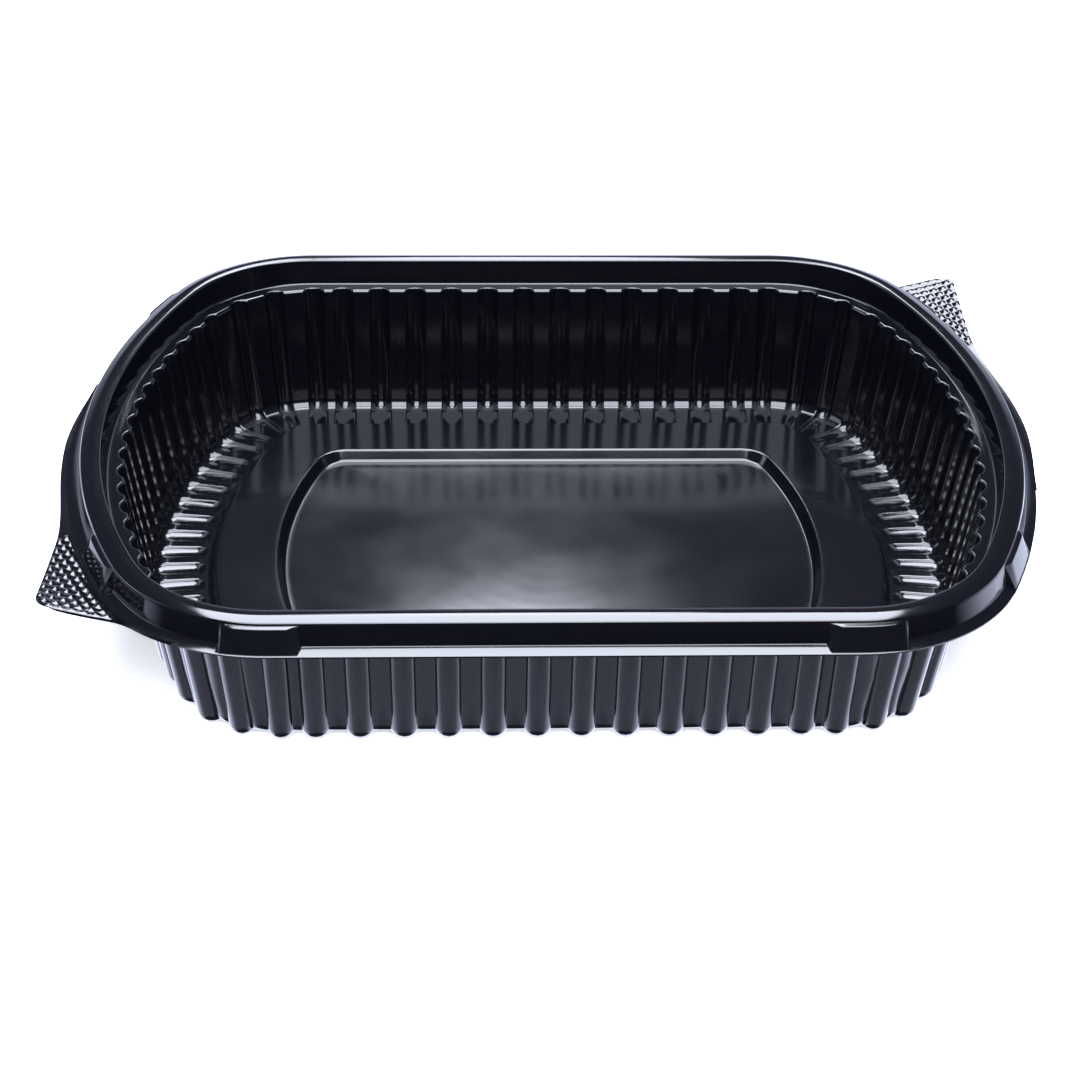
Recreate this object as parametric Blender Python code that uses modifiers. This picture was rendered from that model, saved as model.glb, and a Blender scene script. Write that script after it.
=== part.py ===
"""Takeaway meal container: an oblong tray formed from one sheet of black plastic.

A long straight side runs along X and a bowed end closes each side. The sheet goes from the cut
edge of the flange over the snap bead, down the fluted wall and across the stepped floor. One
station number says where a point lies along any outline, and an inset says how far it lies inside
the cut edge.
"""

import math

import bmesh
import bpy

MM = 0.001

# The sheet.
THICKNESS = 0.5 * MM

# The cut edge of the flange, seen from above.
RIM_HALF_LENGTH = 113.3 * MM
RIM_HALF_WIDTH = 89.8 * MM
RIM_HALF_STRAIGHT = 61.1 * MM
RIM_CORNER_RADIUS = 41.2 * MM

# The recessed panel in the floor, seen from above.
PANEL_HALF_LENGTH = 66.3 * MM
PANEL_HALF_WIDTH = 43.8 * MM
PANEL_HALF_STRAIGHT = 51.5 * MM
PANEL_CORNER_RADIUS = 8.0 * MM
PANEL_STEP_RUN = 1.5 * MM

# Heights of the sheet's upper face over the surface that the tray stands on.
PANEL_HEIGHT = THICKNESS
GROOVE_HEIGHT = THICKNESS
LAND_HEIGHT = 1.3 * MM
BORDER_HEIGHT = 4.3 * MM
LEDGE_HEIGHT = 34.3 * MM
CUT_EDGE_HEIGHT = 34.5 * MM
LUG_BASE_HEIGHT = 34.6 * MM
FLANGE_HEIGHT = 35.4 * MM
LUG_HEIGHT = 39.85 * MM
CREASE_HEIGHT = 40.45 * MM
BEAD_EDGE_HEIGHT = 40.85 * MM
BEAD_HEIGHT = 41.1 * MM

# Insets of the rim's lines from the cut edge.
FLANGE_INSET = 2.5 * MM
FACE_INSET = 3.35 * MM
CREASE_INSET = 3.5 * MM
CROWN_INSET = 5.8 * MM
BEAD_EDGE_INSET = 8.1 * MM
BEAD_FOOT_INSET = 9.1 * MM

# The wall: its lands, and the grooves between them, which stand out as columns on the outside.
LAND_TOP_INSET = 12.9 * MM
LAND_FOOT_INSET = 17.6 * MM
LAND_FILLET_RADIUS = 2.9 * MM
GROOVE_TOP_INSET = 11.5 * MM
GROOVE_FOOT_INSET = 16.1 * MM
GROOVE_FILLET_RADIUS = 2.9 * MM
CHANNEL_END_INSET = 27.4 * MM
CHANNEL_STOP_INSET = 28.8 * MM
STEP_FOOT_INSET = 30.2 * MM
STEP_TOP_INSET = 31.8 * MM

# The flutes: their pitch along the long side, their width at the top of the wall, and how many
# steps of equal angle each bowed end and each corner has.
FLUTE_PITCH = 9.7 * MM
FLUTES_PER_HALF_SIDE = 6
FLUTE_STEPS_PER_HALF_END = 8
FLUTE_STEPS_PER_CORNER = 3
FLUTE_WIDTH = 5.4 * MM
FLUTE_SHOULDER = 0.5
FLUTE_SHOULDER_DEPTH = 0.88

# Stop lugs on the outside of the bead: their widths at the flange and at the top, and insets.
LUG_BASE_WIDTH = 16.5 * MM
LUG_TOP_WIDTH = 12.6 * MM
LUG_SIDE_RUN = 0.6 * MM
LUG_BASE_INSET = 0.3 * MM
LUG_TOP_INSET = 2.3 * MM
SIDE_LUG_CENTRE = 63.0 * MM
END_LUG_HEIGHT_Y = 59.5 * MM

# The two grip tabs, which square off opposite corners, and the lip that leads into each.
TAB_LINE_X = 110.1 * MM
TAB_LINE_Y = 76.9 * MM
TAB_CORNER_BLEND = 6.0 * MM
TAB_FLARE_BLEND = 3.0 * MM
TAB_RISE = 4.2 * MM
TAB_REACH = 14.0 * MM
LIP_WIDTH = 1.5 * MM
LIP_START_STATION = -0.40
LIP_FULL_STATION = 0.10
TAB_END_STATION = 1.56

# Faceting of the smooth stretches.
END_STEPS = 5
CORNER_STEPS = 8
FLOOR_END_STEPS = 6
FLOOR_CORNER_STEPS = 4
SIDE_STEPS = 4

# One station runs over each piece of an outline: half an end, a corner, half a side.
QUARTER = 3
HALF_TURN = 2 * QUARTER
FULL_TURN = 4 * QUARTER

PLASTIC_COLOUR = (0.006, 0.006, 0.008, 1.0)
PLASTIC_ROUGHNESS = 0.22


class Oblong:
    """An outline of two straight sides, four round corners and two bowed ends, all tangent."""

    def __init__(self, half_straight, corner_radius, half_length, half_width):
        self.half_straight = half_straight
        self.corner_radius = corner_radius
        self.corner_y = half_width - corner_radius
        reach = half_length - half_straight
        self.end_radius = (corner_radius**2 - reach**2 - self.corner_y**2) / (2 * (corner_radius - reach))
        self.end_x = half_length - self.end_radius
        self.join_angle = math.atan2(self.corner_y, half_straight - self.end_x)

    def frame(self, station):
        """The arc's centre, its radius and the outward direction at a station of the first quarter."""
        if station <= 1:
            angle = station * self.join_angle
            return self.end_x, 0.0, self.end_radius, angle
        if station <= 2:
            angle = self.join_angle + (station - 1) * (math.pi / 2 - self.join_angle)
            return self.half_straight, self.corner_y, self.corner_radius, angle
        return (QUARTER - station) * self.half_straight, self.corner_y, self.corner_radius, math.pi / 2

    def point(self, station, inset=0.0):
        """The point at a station, all the way round, moved inwards by the inset."""
        turned = station % FULL_TURN
        sign_x, sign_y = 1, 1
        if turned > HALF_TURN:
            turned, sign_x, sign_y = turned - HALF_TURN, -1, -1
        if turned > QUARTER:
            turned, sign_x = HALF_TURN - turned, -sign_x
        centre_x, centre_y, radius, angle = self.frame(turned)
        x = centre_x + (radius - inset) * math.cos(angle)
        y = centre_y + (radius - inset) * math.sin(angle)
        return sign_x * x, sign_y * y

    def lengths(self, inset):
        """The lengths of the half end, the corner and the half side at an inset."""
        end = (self.end_radius - inset) * self.join_angle
        corner = (self.corner_radius - inset) * (math.pi / 2 - self.join_angle)
        return end, corner, self.half_straight

    def shifted(self, station, distance, inset):
        """The station that lies a distance further along the outline at an inset."""
        pieces = self.lengths(inset)
        while distance:
            forward = distance > 0
            piece = math.floor(station) if forward else math.ceil(station) - 1
            turned = piece % HALF_TURN
            length = pieces[turned if turned < QUARTER else HALF_TURN - 1 - turned]
            room = (piece + 1 - station if forward else station - piece) * length
            step = min(abs(distance), room)
            station += math.copysign(step / length, distance)
            distance -= math.copysign(step, distance)
            if abs(distance) < 1e-9:
                break
            station = round(station)
        return station


RIM = Oblong(RIM_HALF_STRAIGHT, RIM_CORNER_RADIUS, RIM_HALF_LENGTH, RIM_HALF_WIDTH)
PANEL = Oblong(PANEL_HALF_STRAIGHT, PANEL_CORNER_RADIUS, PANEL_HALF_LENGTH, PANEL_HALF_WIDTH)


def all_round(stations):
    """Stations of the first quarter, mirrored to the other three and put in order."""
    turned = set()
    for station in stations:
        for place in (station, HALF_TURN - station, HALF_TURN + station, FULL_TURN - station):
            turned.add(round(place % FULL_TURN, 6))
    return sorted(turned)


def side_station(x):
    return QUARTER - x / RIM_HALF_STRAIGHT


def flute_centres():
    """One flute at the middle of each end, equal steps to the side, then the side's own pitch."""
    ends = [step / FLUTE_STEPS_PER_HALF_END for step in range(FLUTE_STEPS_PER_HALF_END)]
    corners = [1 + step / FLUTE_STEPS_PER_CORNER for step in range(FLUTE_STEPS_PER_CORNER + 1)]
    sides = [side_station((number + 0.5) * FLUTE_PITCH) for number in range(FLUTES_PER_HALF_SIDE)]
    return all_round(ends + corners + sides)


def flute_columns():
    """(station, depth) of each column of the wall: two edges and two shoulders to a flute."""
    columns = []
    for centre in flute_centres():
        for across, depth in ((-1, 0), (-FLUTE_SHOULDER, 1), (FLUTE_SHOULDER, 1), (1, 0)):
            station = RIM.shifted(centre, across * FLUTE_WIDTH / 2, LAND_TOP_INSET)
            columns.append((station % FULL_TURN, depth * FLUTE_SHOULDER_DEPTH))
    return sorted(columns)


def wall_rows():
    """(groove inset, groove height, land inset, land height) from the ledge down to the floor."""
    bend = 1 - math.sqrt(0.5)
    groove_bend = bend * GROOVE_FILLET_RADIUS
    land_bend = bend * LAND_FILLET_RADIUS
    groove_top = GROOVE_HEIGHT + GROOVE_FILLET_RADIUS
    land_top = LAND_HEIGHT + LAND_FILLET_RADIUS
    return (
        (GROOVE_TOP_INSET, LEDGE_HEIGHT, LAND_TOP_INSET, LEDGE_HEIGHT),
        (GROOVE_FOOT_INSET, groove_top, LAND_FOOT_INSET, land_top),
        (GROOVE_FOOT_INSET + groove_bend, GROOVE_HEIGHT + groove_bend, LAND_FOOT_INSET + land_bend, LAND_HEIGHT + land_bend),
        (GROOVE_FOOT_INSET + GROOVE_FILLET_RADIUS, GROOVE_HEIGHT, LAND_FOOT_INSET + LAND_FILLET_RADIUS, LAND_HEIGHT),
        (CHANNEL_END_INSET, GROOVE_HEIGHT, CHANNEL_END_INSET, LAND_HEIGHT),
        (CHANNEL_STOP_INSET, LAND_HEIGHT, CHANNEL_STOP_INSET, LAND_HEIGHT),
    )


def lug_centres():
    """One lug on each side and one on each end, next to every corner."""
    end_angle = math.asin(END_LUG_HEIGHT_Y / RIM.end_radius)
    side = RIM.shifted(2, RIM_HALF_STRAIGHT - SIDE_LUG_CENTRE, 0.0)
    return all_round([end_angle / RIM.join_angle, side])


def lug_columns():
    """(station, 0 to 1 at the lug's base, 0 to 1 at its top) of the columns that make a lug."""
    columns = []
    base, top = LUG_BASE_WIDTH / 2, LUG_TOP_WIDTH / 2
    for centre in lug_centres():
        for across, at_base, at_top in ((base + LUG_SIDE_RUN, 0, 0), (base, 1, 0), (top, 1, 1)):
            for side in (-1, 1):
                station = RIM.shifted(centre, side * across, 0.0) % FULL_TURN
                columns.append((station, at_base, at_top))
    return columns


def near_lug(station):
    """Whether a station lies on a lug or so close to it that a column there would be a sliver."""
    reach = (LUG_BASE_WIDTH / 2 + 2 * LUG_SIDE_RUN) / (2 * RIM.lengths(0.0)[1])
    return any(abs((station - centre + QUARTER) % FULL_TURN - QUARTER) < reach for centre in lug_centres())


def rim_columns():
    ends = [step / END_STEPS for step in range(END_STEPS)]
    corners = [1 + step / CORNER_STEPS for step in range(CORNER_STEPS + 1)]
    sides = [2 + step / SIDE_STEPS for step in range(1, SIDE_STEPS + 1)]
    plain = [station for station in all_round(ends + corners + sides) if not near_lug(station)]
    return sorted([(station, 0, 0) for station in plain] + lug_columns())


def rim_rows(at_base, at_top):
    """(inset, height) from the cut edge over the bead to the foot of its inner side."""
    base = FLANGE_INSET + at_base * (LUG_BASE_INSET - FLANGE_INSET)
    base_height = FLANGE_HEIGHT + at_base * (LUG_BASE_HEIGHT - FLANGE_HEIGHT)
    top = FACE_INSET + at_top * (LUG_TOP_INSET - FACE_INSET)
    return (
        (0.0, CUT_EDGE_HEIGHT),
        (base, base_height),
        (top, LUG_HEIGHT),
        (CREASE_INSET, CREASE_HEIGHT),
        (CROWN_INSET, BEAD_HEIGHT),
        (BEAD_EDGE_INSET, BEAD_EDGE_HEIGHT),
        (BEAD_FOOT_INSET, LEDGE_HEIGHT),
    )


def smooth_least(a, b, blend):
    share = max(blend - abs(a - b), 0.0) / blend
    return min(a, b) - share * share * blend / 4


def tab_reach(station):
    """How far the tab and its lip stand out past the cut edge at a station of the first corner."""
    centre_x, centre_y, radius, angle = RIM.frame(abs(station))
    if station > 1:
        to_side = (TAB_LINE_Y - centre_y) / math.sin(angle) - radius
    else:
        to_side = TAB_REACH * 2
    to_end = (TAB_LINE_X - centre_x) / math.cos(angle) - radius
    tab = smooth_least(to_end, to_side, TAB_CORNER_BLEND)
    rise = (station - LIP_START_STATION) / (LIP_FULL_STATION - LIP_START_STATION)
    fall = (TAB_END_STATION - station) / (TAB_END_STATION - 1)
    rise, fall = (min(max(value, 0.0), 1.0) for value in (rise, fall))
    lip = LIP_WIDTH * rise * rise * (3 - 2 * rise) * fall
    return -smooth_least(-lip, -tab, TAB_FLARE_BLEND)


def stitch(bm, outer, outer_stations, inner, inner_stations):
    """Joins two closed rows of unlike counts, station by station, by triangles."""
    i, j = 0, 0
    outer_count, inner_count = len(outer), len(inner)
    while i < outer_count or j < inner_count:
        next_outer = outer_stations[(i + 1) % outer_count] + FULL_TURN * ((i + 1) // outer_count)
        next_inner = inner_stations[(j + 1) % inner_count] + FULL_TURN * ((j + 1) // inner_count)
        a, b = outer[i % outer_count], inner[j % inner_count]
        if j >= inner_count or (i < outer_count and next_outer <= next_inner):
            i += 1
            bm.faces.new((a, outer[i % outer_count], b))
        else:
            j += 1
            bm.faces.new((a, inner[j % inner_count], b))


def band(bm, outer, inner):
    """Joins two closed rows of the same count by quads."""
    for number, vertex in enumerate(outer):
        after = (number + 1) % len(outer)
        bm.faces.new((vertex, outer[after], inner[after], inner[number]))


def build_rim(bm):
    """The flange, the lugs and the bead, from the cut edge to the foot of the bead."""
    columns = rim_columns()
    stations = [column[0] for column in columns]
    rows = []
    for level in range(len(rim_rows(0, 0))):
        row = []
        for station, at_base, at_top in columns:
            inset, height = rim_rows(at_base, at_top)[level]
            row.append(bm.verts.new((*RIM.point(station, inset), height)))
        rows.append(row)
    for outer, inner in zip(rows, rows[1:]):
        band(bm, outer, inner)
    return stations, rows[0], rows[-1]


def build_wall(bm):
    """The fluted wall and the ring of channels that it turns into at the floor."""
    columns = flute_columns()
    stations = [column[0] for column in columns]
    rows = []
    for groove_inset, groove_height, land_inset, land_height in wall_rows():
        row = []
        for station, depth in columns:
            inset = land_inset + depth * (groove_inset - land_inset)
            height = land_height + depth * (groove_height - land_height)
            row.append(bm.verts.new((*RIM.point(station, inset), height)))
        rows.append(row)
    for outer, inner in zip(rows, rows[1:]):
        band(bm, outer, inner)
    return stations, rows[0], rows[-1]


def build_floor(bm):
    """The step up to the border, the border, the step down to the panel, and the panel."""
    ends = [step / FLOOR_END_STEPS for step in range(FLOOR_END_STEPS)]
    corners = [1 + step / FLOOR_CORNER_STEPS for step in range(FLOOR_CORNER_STEPS + 1)]
    sides = [2 + step / SIDE_STEPS for step in range(1, SIDE_STEPS + 1)]
    stations = all_round(ends + corners + sides)
    levels = (
        (RIM, STEP_FOOT_INSET, LAND_HEIGHT),
        (RIM, STEP_TOP_INSET, BORDER_HEIGHT),
        (PANEL, 0.0, BORDER_HEIGHT),
        (PANEL, PANEL_STEP_RUN, PANEL_HEIGHT),
    )
    rows = []
    for outline, inset, height in levels:
        rows.append([bm.verts.new((*outline.point(station, inset), height)) for station in stations])
    for outer, inner in zip(rows, rows[1:]):
        band(bm, outer, inner)
    bm.faces.new(rows[-1])
    return stations, rows[0]


def build_tab(bm, stations, cut_edge, turn):
    """One grip tab and its lip, drawn out from the cut edge; turn is 0 or half a turn."""
    span = []
    for number, station in enumerate(stations):
        local = (station - turn + QUARTER) % FULL_TURN - QUARTER
        if LIP_START_STATION < local < TAB_END_STATION:
            span.append((local, number))
    span.sort()
    before = cut_edge[(span[0][1] - 1) % len(cut_edge)]
    after = cut_edge[(span[-1][1] + 1) % len(cut_edge)]
    outer = [before]
    for local, _ in span:
        reach = tab_reach(local)
        rise = TAB_RISE * (reach / TAB_REACH) ** 1.2
        outer.append(bm.verts.new((*RIM.point(local + turn, -reach), CUT_EDGE_HEIGHT + rise)))
    outer.append(after)
    inner = [before] + [cut_edge[number] for _, number in span] + [after]
    bm.faces.new((before, outer[1], inner[1]))
    for number in range(1, len(inner) - 2):
        bm.faces.new((outer[number], outer[number + 1], inner[number + 1], inner[number]))
    bm.faces.new((outer[-2], after, inner[-2]))


def build_sheet():
    """The upper face of the formed sheet, open at the cut edge."""
    mesh = bpy.data.meshes.new("tray")
    bm = bmesh.new()
    rim_stations, cut_edge, bead_foot = build_rim(bm)
    wall_stations, ledge_edge, channel_end = build_wall(bm)
    floor_stations, step_foot = build_floor(bm)
    stitch(bm, bead_foot, rim_stations, ledge_edge, wall_stations)
    stitch(bm, channel_end, wall_stations, step_foot, floor_stations)
    for turn in (0, HALF_TURN):
        build_tab(bm, rim_stations, cut_edge, turn)
    bm.to_mesh(mesh)
    bm.free()
    return mesh


def plastic():
    material = bpy.data.materials.new("black_plastic")
    material.use_nodes = True
    shader = material.node_tree.nodes["Principled BSDF"]
    shader.inputs["Base Color"].default_value = PLASTIC_COLOUR
    shader.inputs["Roughness"].default_value = PLASTIC_ROUGHNESS
    shader.inputs["Metallic"].default_value = 0.0
    return material


def main():
    for obj in list(bpy.data.objects):
        bpy.data.objects.remove(obj, do_unlink=True)
    parts = bpy.data.collections.new("meal_container")
    bpy.context.scene.collection.children.link(parts)
    tray = bpy.data.objects.new("tray", build_sheet())
    tray.data.materials.append(plastic())
    tray.data.shade_smooth()
    tray.data.set_sharp_from_angle(angle=math.radians(40))
    parts.objects.link(tray)
    sheet = tray.modifiers.new("sheet", "SOLIDIFY")
    sheet.thickness = THICKNESS
    sheet.offset = -1.0
    sheet.use_even_offset = True


main()
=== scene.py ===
import math

import bmesh
import bpy
from mathutils import Matrix, Vector


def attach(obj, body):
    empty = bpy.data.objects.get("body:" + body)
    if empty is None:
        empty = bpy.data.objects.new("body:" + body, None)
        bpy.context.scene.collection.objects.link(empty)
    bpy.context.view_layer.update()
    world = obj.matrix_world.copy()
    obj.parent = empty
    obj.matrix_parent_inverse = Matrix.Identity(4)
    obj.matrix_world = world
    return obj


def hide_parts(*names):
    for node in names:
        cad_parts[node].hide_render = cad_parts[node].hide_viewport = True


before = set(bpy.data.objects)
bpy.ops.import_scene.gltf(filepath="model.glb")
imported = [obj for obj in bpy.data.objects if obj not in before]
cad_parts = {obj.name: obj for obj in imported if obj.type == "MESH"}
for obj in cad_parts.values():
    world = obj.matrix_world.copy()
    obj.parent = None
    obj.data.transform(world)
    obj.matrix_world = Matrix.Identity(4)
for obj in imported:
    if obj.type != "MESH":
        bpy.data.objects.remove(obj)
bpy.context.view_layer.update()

# The tray as it was tooled: one closed solid of thin sheet, standing on the origin with its long
# sides along X. Its box is kept.
MM = 0.001


# The view across the tray: a long lens half a metre off and well above the rim, in front of a long
# side and a little to its left, with the slight lean to one side that the picture shows.
VIEW_FROM = Vector((-19.3, -454.3, 300.1)) * MM
VIEW_HEADING = math.radians(2.15)
VIEW_DIP = math.radians(33.04)
VIEW_LEAN = math.radians(0.94)
LENS_IN_SENSOR_WIDTHS = 2200 / 1080

ahead = Vector((
    math.sin(VIEW_HEADING) * math.cos(VIEW_DIP),
    math.cos(VIEW_HEADING) * math.cos(VIEW_DIP),
    -math.sin(VIEW_DIP),
))
level = Vector((math.cos(VIEW_HEADING), -math.sin(VIEW_HEADING), 0.0))
upward = level.cross(ahead)
leaning_level = math.cos(VIEW_LEAN) * level + math.sin(VIEW_LEAN) * upward
leaning_up = math.cos(VIEW_LEAN) * upward - math.sin(VIEW_LEAN) * level
facing = Matrix((leaning_level, leaning_up, -ahead)).transposed()
camera_data = bpy.data.cameras.new("view_across_tray")
camera_data.sensor_width = 36.0
camera_data.lens = LENS_IN_SENSOR_WIDTHS * camera_data.sensor_width
camera = bpy.data.objects.new("view_across_tray", camera_data)
camera.matrix_world = Matrix.Translation(VIEW_FROM) @ facing.to_4x4()
bpy.context.scene.collection.objects.link(camera)
bpy.context.scene.camera = camera


# The outlines that the forming tool was cut to: two straight sides, four round corners and two
# bowed ends. A station is a place along an outline, one for each half end, corner and half side,
# and an inset is how far a line lies inside the sheet's cut edge.
QUARTER = 3
HALF_TURN = 2 * QUARTER
FULL_TURN = 4 * QUARTER
NO_DISTANCE = 1e-9


class Outline:
    def __init__(self, half_straight, corner_radius, half_length, half_width):
        self.half_straight = half_straight
        self.corner_radius = corner_radius
        self.half_width = half_width
        self.corner_y = half_width - corner_radius
        reach = half_length - half_straight
        self.end_radius = (corner_radius**2 - reach**2 - self.corner_y**2) / (2 * (corner_radius - reach))
        self.end_x = half_length - self.end_radius
        self.join_angle = math.atan2(self.corner_y, half_straight - self.end_x)

    def arc(self, station):
        """The centre, the radius and the outward direction at a station of the first quarter."""
        if station <= 1:
            return self.end_x, 0.0, self.end_radius, station * self.join_angle
        if station <= 2:
            angle = self.join_angle + (station - 1) * (math.pi / 2 - self.join_angle)
            return self.half_straight, self.corner_y, self.corner_radius, angle
        return (QUARTER - station) * self.half_straight, self.corner_y, self.corner_radius, math.pi / 2

    def point(self, station, inset=0.0):
        turned = station % FULL_TURN
        sign_x, sign_y = 1, 1
        if turned > HALF_TURN:
            turned, sign_x, sign_y = turned - HALF_TURN, -1, -1
        if turned > QUARTER:
            turned, sign_x = HALF_TURN - turned, -sign_x
        centre_x, centre_y, radius, angle = self.arc(turned)
        x = centre_x + (radius - inset) * math.cos(angle)
        y = centre_y + (radius - inset) * math.sin(angle)
        return sign_x * x, sign_y * y

    def lengths(self, inset=0.0):
        end = (self.end_radius - inset) * self.join_angle
        corner = (self.corner_radius - inset) * (math.pi / 2 - self.join_angle)
        return end, corner, self.half_straight

    def shifted(self, station, distance, inset=0.0):
        """The station that lies a distance further along the outline at an inset."""
        pieces = self.lengths(inset)
        while abs(distance) > NO_DISTANCE:
            forward = distance > 0
            piece = math.floor(station) if forward else math.ceil(station) - 1
            turned = piece % HALF_TURN
            length = pieces[turned if turned < QUARTER else HALF_TURN - 1 - turned]
            room = (piece + 1 - station if forward else station - piece) * length
            step = min(abs(distance), room)
            station += math.copysign(step / length, distance)
            distance -= math.copysign(step, distance)
            if abs(distance) > NO_DISTANCE:
                station = round(station)
        return station


def all_round(stations):
    """Stations of the first quarter, mirrored to the other three and put in order."""
    turned = set()
    for station in stations:
        for place in (station, HALF_TURN - station, HALF_TURN + station, FULL_TURN - station):
            turned.add(round(place % FULL_TURN, 6))
    return sorted(turned)


def even_stations(outline, spacing):
    """Stations a little under a spacing apart along the first quarter, mirrored all round."""
    stations = []
    for piece, length in enumerate(outline.lengths()):
        count = math.ceil(length / spacing)
        stations += [piece + step / count for step in range(count + 1)]
    return all_round(stations)


rim_outline = Outline(
    half_straight=61.1 * MM,
    corner_radius=41.2 * MM,
    half_length=113.3 * MM,
    half_width=89.8 * MM,
)
panel_outline = Outline(
    half_straight=51.5 * MM,
    corner_radius=8.0 * MM,
    half_length=66.3 * MM,
    half_width=43.8 * MM,
)


# The sheet keeps its skin through every bend, so each bend of the tool is an arc. A section is a
# row of (inset, height, radius) from the outside of the tray inwards, and every section across
# the same bends gives the same number of rows, which is what lets neighbours be joined.
BEND_STEPS = 4
LONGEST_TANGENT = 0.49


def bent(section, steps=BEND_STEPS):
    """The (inset, height) points of a section, with an arc of its radius in place of each bend."""
    points = [section[0][:2]]
    for before, here, after in zip(section, section[1:], section[2:]):
        corner = Vector(here[:2])
        back = Vector(before[:2]) - corner
        on = Vector(after[:2]) - corner
        turn = math.pi - back.angle(on)
        if here[2] == 0:
            points.append(here[:2])
            continue
        room = LONGEST_TANGENT * min(back.length, on.length)
        tangent = min(here[2] * math.tan(turn / 2), room)
        radius = tangent / math.tan(turn / 2)
        middle = corner + (back.normalized() + on.normalized()).normalized() * (radius / math.cos(turn / 2))
        from_middle = corner + back.normalized() * tangent - middle
        sweep = math.copysign(turn, from_middle.x * on.y - from_middle.y * on.x)
        for step in range(steps + 1):
            points.append(tuple(middle + Matrix.Rotation(sweep * step / steps, 2) @ from_middle))
    points.append(section[-1][:2])
    return points


sheet_mesh = bmesh.new()


def lay_row(places):
    return [sheet_mesh.verts.new(place) for place in places]


def join_rows(outer, inner):
    """Quads between two closed rows of the same count."""
    for number, vertex in enumerate(outer):
        after = (number + 1) % len(outer)
        sheet_mesh.faces.new((vertex, outer[after], inner[after], inner[number]))


def sew(outer, outer_stations, inner, inner_stations):
    """Triangles between two open rows of unlike counts, taken in the order of their stations."""
    i, j = 0, 0
    while i < len(outer) - 1 or j < len(inner) - 1:
        inner_done = j == len(inner) - 1
        outer_left = i < len(outer) - 1
        take_outer = inner_done or (outer_left and outer_stations[i + 1] <= inner_stations[j + 1])
        corners = (outer[i], outer[i + 1], inner[j]) if take_outer else (outer[i], inner[j + 1], inner[j])
        if len(set(corners)) == 3:
            sheet_mesh.faces.new(corners)
        if take_outer:
            i += 1
        else:
            j += 1


def sew_round(outer, outer_stations, inner, inner_stations):
    """The same between two closed rows: each is opened at its first vertex."""
    sew(
        outer + outer[:1],
        outer_stations + [outer_stations[0] + FULL_TURN],
        inner + inner[:1],
        inner_stations + [inner_stations[0] + FULL_TURN],
    )


def ease(value, start, end):
    share = min(max((value - start) / (end - start), 0.0), 1.0)
    return share * share * (3 - 2 * share)


# The rim: a flange that falls a little to the cut edge, and inside it the hollow bead that the lid
# snaps over. Eight stop lugs are formed on the bead's outer face, two to a corner, with drafted sides.
CUT_EDGE_HEIGHT = 34.5 * MM
FLANGE_HEIGHT = 35.4 * MM
CREASE_HEIGHT = 40.45 * MM
BEAD_HEIGHT = 41.1 * MM
BEAD_EDGE_HEIGHT = 40.85 * MM
LEDGE_HEIGHT = 34.3 * MM
FLANGE_INSET = 2.5 * MM
BEAD_FACE_INSET = 3.35 * MM
CREASE_INSET = 3.5 * MM
CROWN_INSET = 5.8 * MM
BEAD_EDGE_INSET = 8.1 * MM
BEAD_FOOT_INSET = 9.1 * MM
LEDGE_RUN = 0.9 * MM
FLANGE_MIDDLE_SHARE = 0.4
FLANGE_BEND = 0.3 * MM
LUG_BEND = 0.25 * MM
SHELF_BEND = 0.1 * MM
CREASE_BEND = 0.4 * MM
CROWN_BEND = 3.0 * MM
BEAD_EDGE_BEND = 0.5 * MM
LEDGE_BEND = 0.6 * MM
SHELF_RUN = 0.04 * MM
SHELF_RISE = 0.06 * MM
LUG_TOP = 39.85 * MM
LUG_FOOT = 34.6 * MM
LUG_FOOT_INSET = 0.3 * MM
LUG_TOP_INSET = 2.3 * MM
LUG_FOOT_ENDS = (8.15 * MM, 8.85 * MM)
LUG_TOP_ENDS = (5.8 * MM, 8.25 * MM)
LUG_REACH = 10.0 * MM
ACROSS_LUG = (0.0, 2.0, 4.0, 5.3, 5.9, 6.5, 7.1, 7.7, 8.1, 8.4, 8.7, 9.1)
LUG_ON_SIDE_X = 63.0 * MM
LUG_ON_END_Y = 59.5 * MM
RIM_SPACING = 2.2 * MM

lug_stations = all_round([
    math.asin(LUG_ON_END_Y / rim_outline.end_radius) / rim_outline.join_angle,
    rim_outline.shifted(2, rim_outline.half_straight - LUG_ON_SIDE_X),
])
corner_scale = rim_outline.lengths()[1]


def past(station, start):
    """How many stations one place is past another, counted from a quarter turn before it."""
    return (station - start + QUARTER) % FULL_TURN - QUARTER


def from_lug(station):
    """How far along the rim a station is from the nearest lug's middle, near enough for a lug."""
    return min(abs(past(station, lug)) for lug in lug_stations) * corner_scale


def rim_columns():
    """(station, distance from a lug's middle) of each column, closer together over a lug's sides."""
    between_lugs = even_stations(rim_outline, RIM_SPACING)
    columns = [(station, LUG_REACH) for station in between_lugs if from_lug(station) > LUG_REACH]
    for lug in lug_stations:
        for distance in sorted({side * value * MM for value in ACROSS_LUG for side in (-1, 1)}):
            columns.append((rim_outline.shifted(lug, distance) % FULL_TURN, abs(distance)))
    return sorted(columns)


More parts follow.
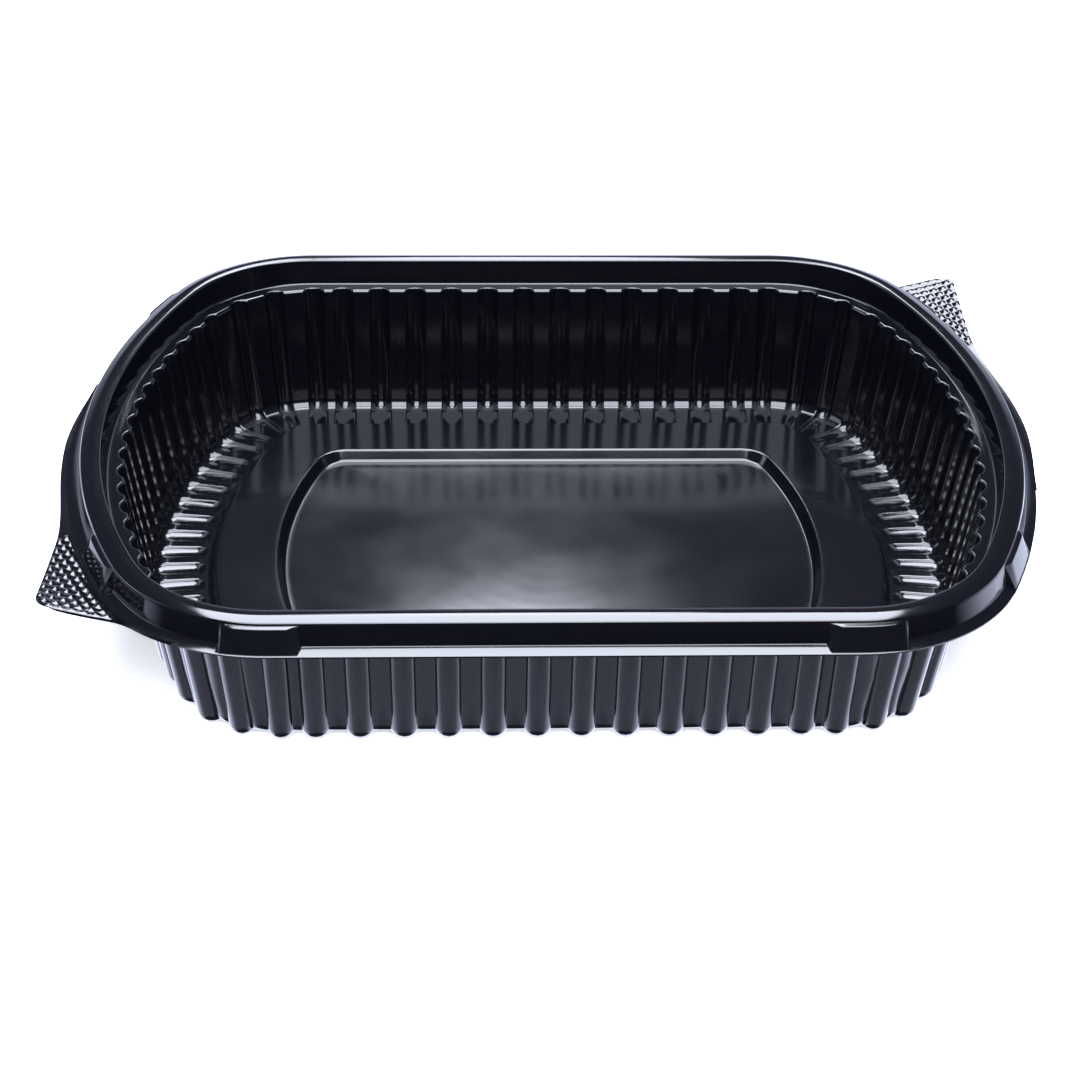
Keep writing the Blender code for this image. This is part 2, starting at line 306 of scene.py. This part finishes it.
def rim_section(distance):
    """The rim's section at a distance from a lug's middle. A narrow shelf tops the lug."""
    foot = 1 - ease(distance, *LUG_FOOT_ENDS)
    top = 1 - ease(distance, *LUG_TOP_ENDS)
    foot_inset = FLANGE_INSET + foot * (LUG_FOOT_INSET - FLANGE_INSET)
    foot_height = FLANGE_HEIGHT + foot * (LUG_FOOT - FLANGE_HEIGHT)
    middle_height = (1 - FLANGE_MIDDLE_SHARE) * CUT_EDGE_HEIGHT + FLANGE_MIDDLE_SHARE * foot_height
    top_inset = BEAD_FACE_INSET + top * (LUG_TOP_INSET - BEAD_FACE_INSET)
    return (
        (0.0, CUT_EDGE_HEIGHT, 0.0),
        (foot_inset / 2, middle_height, 0.0),
        (foot_inset, foot_height, FLANGE_BEND),
        (top_inset - SHELF_RUN, LUG_TOP, LUG_BEND),
        (BEAD_FACE_INSET, LUG_TOP + SHELF_RISE, SHELF_BEND),
        (CREASE_INSET, CREASE_HEIGHT, CREASE_BEND),
        (CROWN_INSET, BEAD_HEIGHT, CROWN_BEND),
        (BEAD_EDGE_INSET, BEAD_EDGE_HEIGHT, BEAD_EDGE_BEND),
        (BEAD_FOOT_INSET, LEDGE_HEIGHT, LEDGE_BEND),
        (BEAD_FOOT_INSET + LEDGE_RUN, LEDGE_HEIGHT, 0.0),
    )


rim = rim_columns()
rim_stations = [station for station, _ in rim]
rim_lines = [bent(rim_section(distance)) for _, distance in rim]
rim_rows = []
for level_number in range(len(rim_lines[0])):
    rim_rows.append(lay_row(
        (*rim_outline.point(station, line[level_number][0]), line[level_number][1])
        for station, line in zip(rim_stations, rim_lines)
    ))
for outer_row, inner_row in zip(rim_rows, rim_rows[1:]):
    join_rows(outer_row, inner_row)


# The wall: flutes drawn down the sheet to stiffen it, hollow inside and standing out as round
# columns outside. Each flute turns in at the foot and ends as a round-ended channel on the floor.
FLUTE_PITCH = 9.7 * MM
FLUTES_PER_HALF_SIDE = 6
PITCHES_PER_HALF_END = 8
PITCHES_PER_CORNER = 3
FLUTE_HALF_WIDTH = 2.7 * MM
WALL_START_INSET = 10.7 * MM
LAND_TOP_INSET = 12.9 * MM
LAND_FOOT_INSET = 17.6 * MM
FLUTE_TOP_INSET = 11.35 * MM
FLUTE_FOOT_INSET = 16.0 * MM
RING_START_INSET = 23.0 * MM
LAND_TOP_BEND = 0.9 * MM
LAND_FOOT_BEND = 3.3 * MM
FLUTE_TOP_BEND = 0.6 * MM
FLUTE_FOOT_BEND = 3.1 * MM
RING_HEIGHT = 1.3 * MM
CHANNEL_HEIGHT = 0.5 * MM
CHANNEL_END_INSET = 29.1 * MM
RING_INNER_INSET = 29.5 * MM
ACROSS_FLUTE = (-1.12, -1.0, -0.9, -0.68, -0.36, 0.0, 0.36, 0.68, 0.9, 1.0, 1.12)
FLUTE_ROUNDNESS = 0.86
ALONG_CHANNEL_END = (0.0, 0.3, 0.55, 0.75, 0.9, 1.0)
WALL_BEND_STEPS = 6

ends = [step / PITCHES_PER_HALF_END for step in range(PITCHES_PER_HALF_END)]
corners = [1 + step / PITCHES_PER_CORNER for step in range(PITCHES_PER_CORNER + 1)]
pitch_on_side = FLUTE_PITCH / rim_outline.half_straight
sides = [QUARTER - (number + 0.5) * pitch_on_side for number in range(FLUTES_PER_HALF_SIDE)]
flute_stations = all_round(ends + corners + sides)


def flute_depth(across, past_end=0.0):
    """1 down the middle of a flute and 0 on the lands, where past_end runs 0 to 1 at its round end."""
    off_middle = min(math.hypot(across, past_end), 1.0) * FLUTE_ROUNDNESS
    rim_of_arc = math.sqrt(1 - FLUTE_ROUNDNESS**2)
    return (math.sqrt(1 - off_middle**2) - rim_of_arc) / (1 - rim_of_arc)


def wall_columns():
    """(station, place across the flute) of each column, the outermost of them on the lands."""
    columns = []
    for flute in flute_stations:
        for across in ACROSS_FLUTE:
            station = rim_outline.shifted(flute, across * FLUTE_HALF_WIDTH, LAND_TOP_INSET)
            columns.append((station % FULL_TURN, across))
    return sorted(columns)


land_section = (
    (WALL_START_INSET, LEDGE_HEIGHT, 0.0),
    (LAND_TOP_INSET, LEDGE_HEIGHT, LAND_TOP_BEND),
    ((LAND_TOP_INSET + LAND_FOOT_INSET) / 2, LEDGE_HEIGHT / 2, 0.0),
    (LAND_FOOT_INSET, RING_HEIGHT, LAND_FOOT_BEND),
    (RING_START_INSET, RING_HEIGHT, 0.0),
)
flute_section = (
    (WALL_START_INSET, LEDGE_HEIGHT, 0.0),
    (FLUTE_TOP_INSET, LEDGE_HEIGHT, FLUTE_TOP_BEND),
    ((FLUTE_TOP_INSET + FLUTE_FOOT_INSET) / 2, LEDGE_HEIGHT / 2, 0.0),
    (FLUTE_FOOT_INSET, CHANNEL_HEIGHT, FLUTE_FOOT_BEND),
    (RING_START_INSET, CHANNEL_HEIGHT, 0.0),
)
land_line = bent(land_section, WALL_BEND_STEPS)
flute_line = bent(flute_section, WALL_BEND_STEPS)
wall = wall_columns()
wall_stations = [station for station, _ in wall]
wall_rows = []
for land_point, flute_point in zip(land_line, flute_line):
    wall_places = []
    for station, across in wall:
        depth = flute_depth(across)
        inset, height = (land + depth * (flute - land) for land, flute in zip(land_point, flute_point))
        wall_places.append((*rim_outline.point(station, inset), height))
    wall_rows.append(lay_row(wall_places))
for past_end in ALONG_CHANNEL_END:
    inset = CHANNEL_END_INSET - FLUTE_HALF_WIDTH * (1 - past_end)
    wall_places = []
    for station, across in wall:
        height = RING_HEIGHT - flute_depth(across, past_end) * (RING_HEIGHT - CHANNEL_HEIGHT)
        wall_places.append((*rim_outline.point(station, inset), height))
    wall_rows.append(lay_row(wall_places))
for outer_row, inner_row in zip(wall_rows, wall_rows[1:]):
    join_rows(outer_row, inner_row)
sew_round(rim_rows[-1], rim_stations, wall_rows[0], wall_stations)


# The floor: the sheet steps up from the ring of channels to a flat border, and down again to the
# panel in the middle, whose edges warped a little, down at the front and up at the back, in cooling.
BORDER_HEIGHT = 4.3 * MM
PANEL_HEIGHT = 1.15 * MM
PANEL_WARP = 0.65 * MM
PANEL_WARP_RUN = 14.0 * MM
PANEL_RINGS = (3.0, 5.0, 7.0, 9.0, 11.0, 13.0, 15.0, 17.0, 23.0, 30.0)
PANEL_MIDDLE_RING = 42.0
RING_EDGE_INSET = 30.2 * MM
BORDER_START_INSET = 31.9 * MM
BORDER_INNER_INSET = 33.2 * MM
BORDER_RUN = 1.4 * MM
PANEL_STEP_RUN = 1.3 * MM
RING_EDGE_BEND = 0.8 * MM
BORDER_BEND = 0.6 * MM
PANEL_BEND = 0.7 * MM
FLOOR_SPACING = 3.2 * MM

border_line = bent((
    (RING_INNER_INSET, RING_HEIGHT, 0.0),
    (RING_EDGE_INSET, RING_HEIGHT, RING_EDGE_BEND),
    (BORDER_START_INSET, BORDER_HEIGHT, BORDER_BEND),
    (BORDER_INNER_INSET, BORDER_HEIGHT, 0.0),
))
panel_line = bent((
    (-BORDER_RUN, BORDER_HEIGHT, 0.0),
    (0.0, BORDER_HEIGHT, BORDER_BEND),
    (PANEL_STEP_RUN, PANEL_HEIGHT, PANEL_BEND),
    (PANEL_RINGS[0] * MM, PANEL_HEIGHT, 0.0),
))
floor_stations = even_stations(rim_outline, FLOOR_SPACING)


def warped(x, y, height, inset):
    """A place on the panel or its step, with the height that the warp leaves it at."""
    into_panel = max(inset - PANEL_RINGS[0] * MM, 0.0)
    left = max(1 - into_panel / PANEL_WARP_RUN, 0.0)
    down_the_step = (BORDER_HEIGHT - height) / (BORDER_HEIGHT - PANEL_HEIGHT)
    return (x, y, height + PANEL_WARP * left * left * down_the_step * y / panel_outline.half_width)


floor_rows = []
for inset, height in border_line:
    floor_rows.append(lay_row((*rim_outline.point(station, inset), height) for station in floor_stations))
for inset, height in panel_line:
    outline_places = (panel_outline.point(station, inset) for station in floor_stations)
    floor_rows.append(lay_row(warped(*place, height, inset) for place in outline_places))
panel_rim = [Vector(panel_outline.point(station, PANEL_RINGS[0] * MM)) for station in floor_stations]
for ring in PANEL_RINGS[1:]:
    share = 1 - (ring - PANEL_RINGS[0]) / (PANEL_MIDDLE_RING - PANEL_RINGS[0])
    floor_rows.append(lay_row(warped(*(place * share), PANEL_HEIGHT, ring * MM) for place in panel_rim))
for outer_row, inner_row in zip(floor_rows, floor_rows[1:]):
    join_rows(outer_row, inner_row)
sheet_mesh.faces.new(floor_rows[-1])
sew_round(wall_rows[-1], wall_stations, floor_rows[0], floor_stations)


# The two grip tabs: the flange runs out square at two opposite corners for a thumb to pull, with
# a field of small round bumps for grip, and a narrow lip leads along the bowed end into each.
TAB_LINE_X = 110.1 * MM
TAB_LINE_Y = 76.9 * MM
TAB_CORNER_BLEND = 8.5 * MM
TAB_FLARE_BLEND = 3.0 * MM
TAB_RISE = 4.2 * MM
TAB_CURL = 1.2
TAB_FULL_REACH = 14.0 * MM
LIP_WIDTH = 1.5 * MM
LIP_START, LIP_FULL, TAB_START, TAB_END = -0.40, 0.10, 0.50, 1.56
LIP_SPACING = 2.0 * MM
TAB_SPACING = 0.5 * MM
TAB_ROWS = 28
BUMP_PITCH = 2.35 * MM
BUMP_ROW_PITCH = 2.05 * MM
BUMP_RADIUS = 1.1 * MM
BUMP_HEIGHT = 0.5 * MM
BUMPS_FROM_FLANGE = 1.2 * MM
BUMPS_FROM_EDGE = 0.6 * MM
BUMPS_FROM_REACH = 3.5 * MM
BUMPS_FADE = 0.4 * MM


def smooth_least(a, b, blend):
    share = max(blend - abs(a - b), 0.0) / blend
    return min(a, b) - share * share * blend / 4


def tab_reach(station):
    """How far the tab and its lip stand out past the cut edge at a station of the first corner."""
    centre_x, centre_y, radius, angle = rim_outline.arc(abs(station))
    to_side = (TAB_LINE_Y - centre_y) / math.sin(angle) - radius if station > 1 else 2 * TAB_FULL_REACH
    to_end = (TAB_LINE_X - centre_x) / math.cos(angle) - radius
    tab = smooth_least(to_end, to_side, TAB_CORNER_BLEND)
    run_out = min(max((TAB_END - station) / (TAB_END - 1), 0.0), 1.0)
    lip = LIP_WIDTH * ease(station, LIP_START, LIP_FULL) * run_out
    return -smooth_least(-lip, -tab, TAB_FLARE_BLEND)


def bump(x, y, out, reach):
    """The height of the grip's bumps, which lie in rows, each moved half a pitch on the last."""
    row = round(y / BUMP_ROW_PITCH)
    shift = 0.5 * BUMP_PITCH * (row % 2)
    along = (x - shift) / BUMP_PITCH
    off = math.hypot((along - round(along)) * BUMP_PITCH, y - row * BUMP_ROW_PITCH)
    field = ease(out, BUMPS_FROM_FLANGE - BUMPS_FADE, BUMPS_FROM_FLANGE)
    field *= ease(reach - out, BUMPS_FROM_EDGE - BUMPS_FADE, BUMPS_FROM_EDGE)
    field *= ease(reach, BUMPS_FROM_REACH - BUMPS_FADE, BUMPS_FROM_REACH)
    return BUMP_HEIGHT * field * math.cos(min(off / BUMP_RADIUS, 1.0) * math.pi / 2) ** 2


def tab_stations():
    """Stations from the lip's start to the tab's end, closer together along the tab."""
    end, corner, _ = rim_outline.lengths()
    tab_length = (1 - TAB_START) * end + (TAB_END - 1) * corner
    lip_count = math.ceil((TAB_START - LIP_START) * end / LIP_SPACING)
    tab_count = math.ceil(tab_length / TAB_SPACING)
    lip_part = [LIP_START + (TAB_START - LIP_START) * step / lip_count for step in range(1, lip_count)]
    tab_part = [rim_outline.shifted(TAB_START, tab_length * step / tab_count) for step in range(tab_count)]
    return lip_part + tab_part


def form_tab(turn):
    """One tab and its lip. turn is 0, or half a turn for the one at the opposite corner."""
    stations = tab_stations()
    rows = []
    for row in range(1, TAB_ROWS + 1):
        places = []
        for station in stations:
            reach = tab_reach(station)
            out = reach * row / TAB_ROWS
            x, y = rim_outline.point(station + turn, -out)
            height = CUT_EDGE_HEIGHT + TAB_RISE * (out / TAB_FULL_REACH) ** TAB_CURL
            places.append((x, y, height + bump(x, y, out, reach)))
        rows.append(lay_row(places))
    turned = [(past(station, turn), number) for number, station in enumerate(rim_stations)]
    span = sorted((station, number) for station, number in turned if LIP_START < station < TAB_END)
    before = rim_rows[0][(span[0][1] - 1) % len(rim_rows[0])]
    after = rim_rows[0][(span[-1][1] + 1) % len(rim_rows[0])]
    cut_edge = [before] + [rim_rows[0][number] for _, number in span] + [after]
    cut_stations = [LIP_START] + [station for station, _ in span] + [TAB_END]
    for inner, outer in zip(rows, rows[1:]):
        for number in range(len(stations) - 1):
            sheet_mesh.faces.new((outer[number], outer[number + 1], inner[number + 1], inner[number]))
    sew([before] + rows[0] + [after], [LIP_START] + stations + [TAB_END], cut_edge, cut_stations)


for tab_turn in (0, HALF_TURN):
    form_tab(tab_turn)


# The finished sheet: black polypropylene, half a millimetre thick, drawn glossy over a polished
# tool and a touch duller below the rim, where it was stretched most. The cooling left a soft
# ripple in its skin, and the tool's turning marks show through as fine rings.
SHEET_THICKNESS = 0.5 * MM
PLASTIC_BLACK = (0.0016, 0.0017, 0.0028, 1.0)
PLASTIC_IOR = 1.49
LEAST_ROUGHNESS = 0.08
MOST_ROUGHNESS = 0.12
ADDED_BELOW_RIM = 0.02
DULL_BELOW = 28.0 * MM
GLOSSY_ABOVE = 34.0 * MM
SKIN_STRENGTH = 0.025
SKIN_DEPTH = 0.2 * MM
SHARP_FROM = math.radians(65)


def black_polypropylene():
    material = bpy.data.materials.new("black_polypropylene")
    material.use_nodes = True
    nodes, links = material.node_tree.nodes, material.node_tree.links
    shader = nodes["Principled BSDF"]
    shader.inputs["Base Color"].default_value = PLASTIC_BLACK
    shader.inputs["IOR"].default_value = PLASTIC_IOR
    place = nodes.new("ShaderNodeTexCoord")

    haze = nodes.new("ShaderNodeTexNoise")
    haze.inputs["Scale"].default_value = 60.0
    haze.inputs["Detail"].default_value = 5.0
    links.new(place.outputs["Object"], haze.inputs["Vector"])
    gloss = nodes.new("ShaderNodeMapRange")
    gloss.inputs["From Min"].default_value = 0.3
    gloss.inputs["From Max"].default_value = 0.7
    gloss.inputs["To Min"].default_value = LEAST_ROUGHNESS
    gloss.inputs["To Max"].default_value = MOST_ROUGHNESS
    links.new(haze.outputs["Fac"], gloss.inputs["Value"])
    parts = nodes.new("ShaderNodeSeparateXYZ")
    links.new(place.outputs["Object"], parts.inputs["Vector"])
    below_rim = nodes.new("ShaderNodeMapRange")
    below_rim.inputs["From Min"].default_value = DULL_BELOW
    below_rim.inputs["From Max"].default_value = GLOSSY_ABOVE
    below_rim.inputs["To Min"].default_value = ADDED_BELOW_RIM
    below_rim.inputs["To Max"].default_value = 0.0
    links.new(parts.outputs["Z"], below_rim.inputs["Value"])
    roughness = nodes.new("ShaderNodeMath")
    roughness.operation = "ADD"
    links.new(gloss.outputs["Result"], roughness.inputs[0])
    links.new(below_rim.outputs["Result"], roughness.inputs[1])
    links.new(roughness.outputs["Value"], shader.inputs["Roughness"])

    ripple = nodes.new("ShaderNodeTexNoise")
    ripple.inputs["Scale"].default_value = 220.0
    ripple.inputs["Detail"].default_value = 2.0
    links.new(place.outputs["Object"], ripple.inputs["Vector"])
    turned = nodes.new("ShaderNodeTexWave")
    turned.wave_type = "RINGS"
    turned.rings_direction = "Z"
    turned.inputs["Scale"].default_value = 60.0
    turned.inputs["Distortion"].default_value = 1.5
    turned.inputs["Detail"].default_value = 2.0
    links.new(place.outputs["Object"], turned.inputs["Vector"])
    marks = nodes.new("ShaderNodeMix")
    marks.data_type = "FLOAT"
    marks.inputs["Factor"].default_value = 0.25
    links.new(ripple.outputs["Fac"], marks.inputs["A"])
    links.new(turned.outputs["Fac"], marks.inputs["B"])
    skin = nodes.new("ShaderNodeBump")
    skin.inputs["Strength"].default_value = SKIN_STRENGTH
    skin.inputs["Distance"].default_value = SKIN_DEPTH
    links.new(marks.outputs["Result"], skin.inputs["Height"])
    links.new(skin.outputs["Normal"], shader.inputs["Normal"])
    return material


def formed_sheet():
    mesh = bpy.data.meshes.new("formed_sheet")
    for face in sheet_mesh.faces:
        face.smooth = True
    for edge in sheet_mesh.edges:
        edge.smooth = not edge.is_boundary and edge.calc_face_angle() < SHARP_FROM
    sheet_mesh.to_mesh(mesh)
    sheet_mesh.free()
    mesh.materials.append(black_polypropylene())
    piece = bpy.data.objects.new("formed_sheet", mesh)
    bpy.context.scene.collection.objects.link(piece)
    thickness = piece.modifiers.new("sheet", "SOLIDIFY")
    thickness.thickness = SHEET_THICKNESS
    thickness.offset = -1.0
    return piece


tray = formed_sheet()
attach(tray, "root")
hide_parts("tray")


# The studio: a pale floor under the tray, a round soft box high behind it with a smaller one under
# its lower edge, a square one above the camera, and a strip on the left. The table and the low
# backdrop behind it are pale, and the room in front of it is dark.
FLOOR_HALF = 4.0
FLOOR_WHITE = (0.85, 0.85, 0.86, 1.0)
FLOOR_ROUGHNESS = 0.9
FLOOR_GLOW = 0.6
LIGHT_TINT = (0.84, 0.88, 1.0)
ROOM_TINT = (0.72, 0.77, 1.0)
ROOM_BRIGHTNESS = 3.4
ROOM_IN_FRONT = (
    (-90, 0.03), (-68, 0.03), (-58, 0.3), (-38, 0.3),
    (-31, 0.01), (0, 0.01), (20, 0.04), (90, 0.04),
)
ROOM_BEHIND = (
    (-90, 0.03), (-68, 0.03), (-58, 1.0), (-20, 1.0),
    (0, 0.6), (10, 0.5), (20, 0.04), (90, 0.04),
)
SOFT_BOXES = (
    ("round_box_behind", "ELLIPSE", 0, 69, 1.6, 1.1, 1.12, 16.0),
    ("low_end_of_the_box", "ELLIPSE", 0.9, 44, 1.6, 0.38, 0.49, 11.0),
    ("box_in_front", "RECTANGLE", 180, 62, 1.5, 1.2, 1.4, 14.0),
    ("strip_left", "RECTANGLE", -80, 30, 1.6, 0.5, 1.2, 3.0),
)
FRONT_ENDS = -0.3
BACK_STARTS = 0.1


def studio_floor():
    mesh = bpy.data.meshes.new("studio_floor")
    corners_xy = ((-1, -1), (1, -1), (1, 1), (-1, 1))
    mesh.from_pydata([(x * FLOOR_HALF, y * FLOOR_HALF, 0.0) for x, y in corners_xy], [], [(0, 1, 2, 3)])
    material = bpy.data.materials.new("studio_white")
    material.use_nodes = True
    shader = material.node_tree.nodes["Principled BSDF"]
    shader.inputs["Base Color"].default_value = FLOOR_WHITE
    shader.inputs["Roughness"].default_value = FLOOR_ROUGHNESS
    shader.inputs["Emission Color"].default_value = FLOOR_WHITE
    shader.inputs["Emission Strength"].default_value = FLOOR_GLOW
    mesh.materials.append(material)
    piece = bpy.data.objects.new("studio_floor", mesh)
    piece.visible_glossy = False
    bpy.context.scene.collection.objects.link(piece)


def soft_box(name, shape, azimuth, elevation, distance, width, height, radiance):
    """A soft light that faces the tray, with angles in degrees. Azimuth 0 is behind the tray."""
    turn, lift = math.radians(azimuth), math.radians(elevation)
    towards = Vector((math.sin(turn) * math.cos(lift), math.cos(turn) * math.cos(lift), math.sin(lift)))
    data = bpy.data.lights.new(name, "AREA")
    data.shape = shape
    data.size = width
    data.size_y = height
    data.color = LIGHT_TINT
    data.energy = radiance * math.pi * width * height
    light = bpy.data.objects.new(name, data)
    light.location = towards * distance
    light.rotation_euler = towards.to_track_quat("Z", "Y").to_euler()
    bpy.context.scene.collection.objects.link(light)


studio_floor()
for box in SOFT_BOXES:
    soft_box(*box)


def studio_surroundings():
    """The room's brightness by degrees above level, for the half in front and the half behind."""
    world = bpy.data.worlds.new("studio_surroundings")
    world.use_nodes = True
    bpy.context.scene.world = world
    nodes, links = world.node_tree.nodes, world.node_tree.links
    direction = nodes.new("ShaderNodeTexCoord")
    parts = nodes.new("ShaderNodeSeparateXYZ")
    links.new(direction.outputs["Generated"], parts.inputs["Vector"])
    height = nodes.new("ShaderNodeMapRange")
    height.inputs["From Min"].default_value = -1.0
    height.inputs["From Max"].default_value = 1.0
    links.new(parts.outputs["Z"], height.inputs["Value"])
    around = nodes.new("ShaderNodeMix")
    around.data_type = "RGBA"
    for socket, levels in (("A", ROOM_IN_FRONT), ("B", ROOM_BEHIND)):
        ramp = nodes.new("ShaderNodeValToRGB")
        while len(ramp.color_ramp.elements) < len(levels):
            ramp.color_ramp.elements.new(0.5)
        for element, (degrees, value) in zip(ramp.color_ramp.elements, levels):
            element.position = (math.sin(math.radians(degrees)) + 1) / 2
            element.color = (*(value * tint for tint in ROOM_TINT), 1.0)
        links.new(height.outputs["Result"], ramp.inputs["Fac"])
        links.new(ramp.outputs["Color"], around.inputs[socket])
    share_behind = nodes.new("ShaderNodeMapRange")
    share_behind.inputs["From Min"].default_value = FRONT_ENDS
    share_behind.inputs["From Max"].default_value = BACK_STARTS
    links.new(parts.outputs["Y"], share_behind.inputs["Value"])
    links.new(share_behind.outputs["Result"], around.inputs["Factor"])
    background = nodes["Background"]
    links.new(around.outputs["Result"], background.inputs["Color"])
    background.inputs["Strength"].default_value = ROOM_BRIGHTNESS


studio_surroundings()
bpy.context.scene.view_settings.view_transform = "Standard"
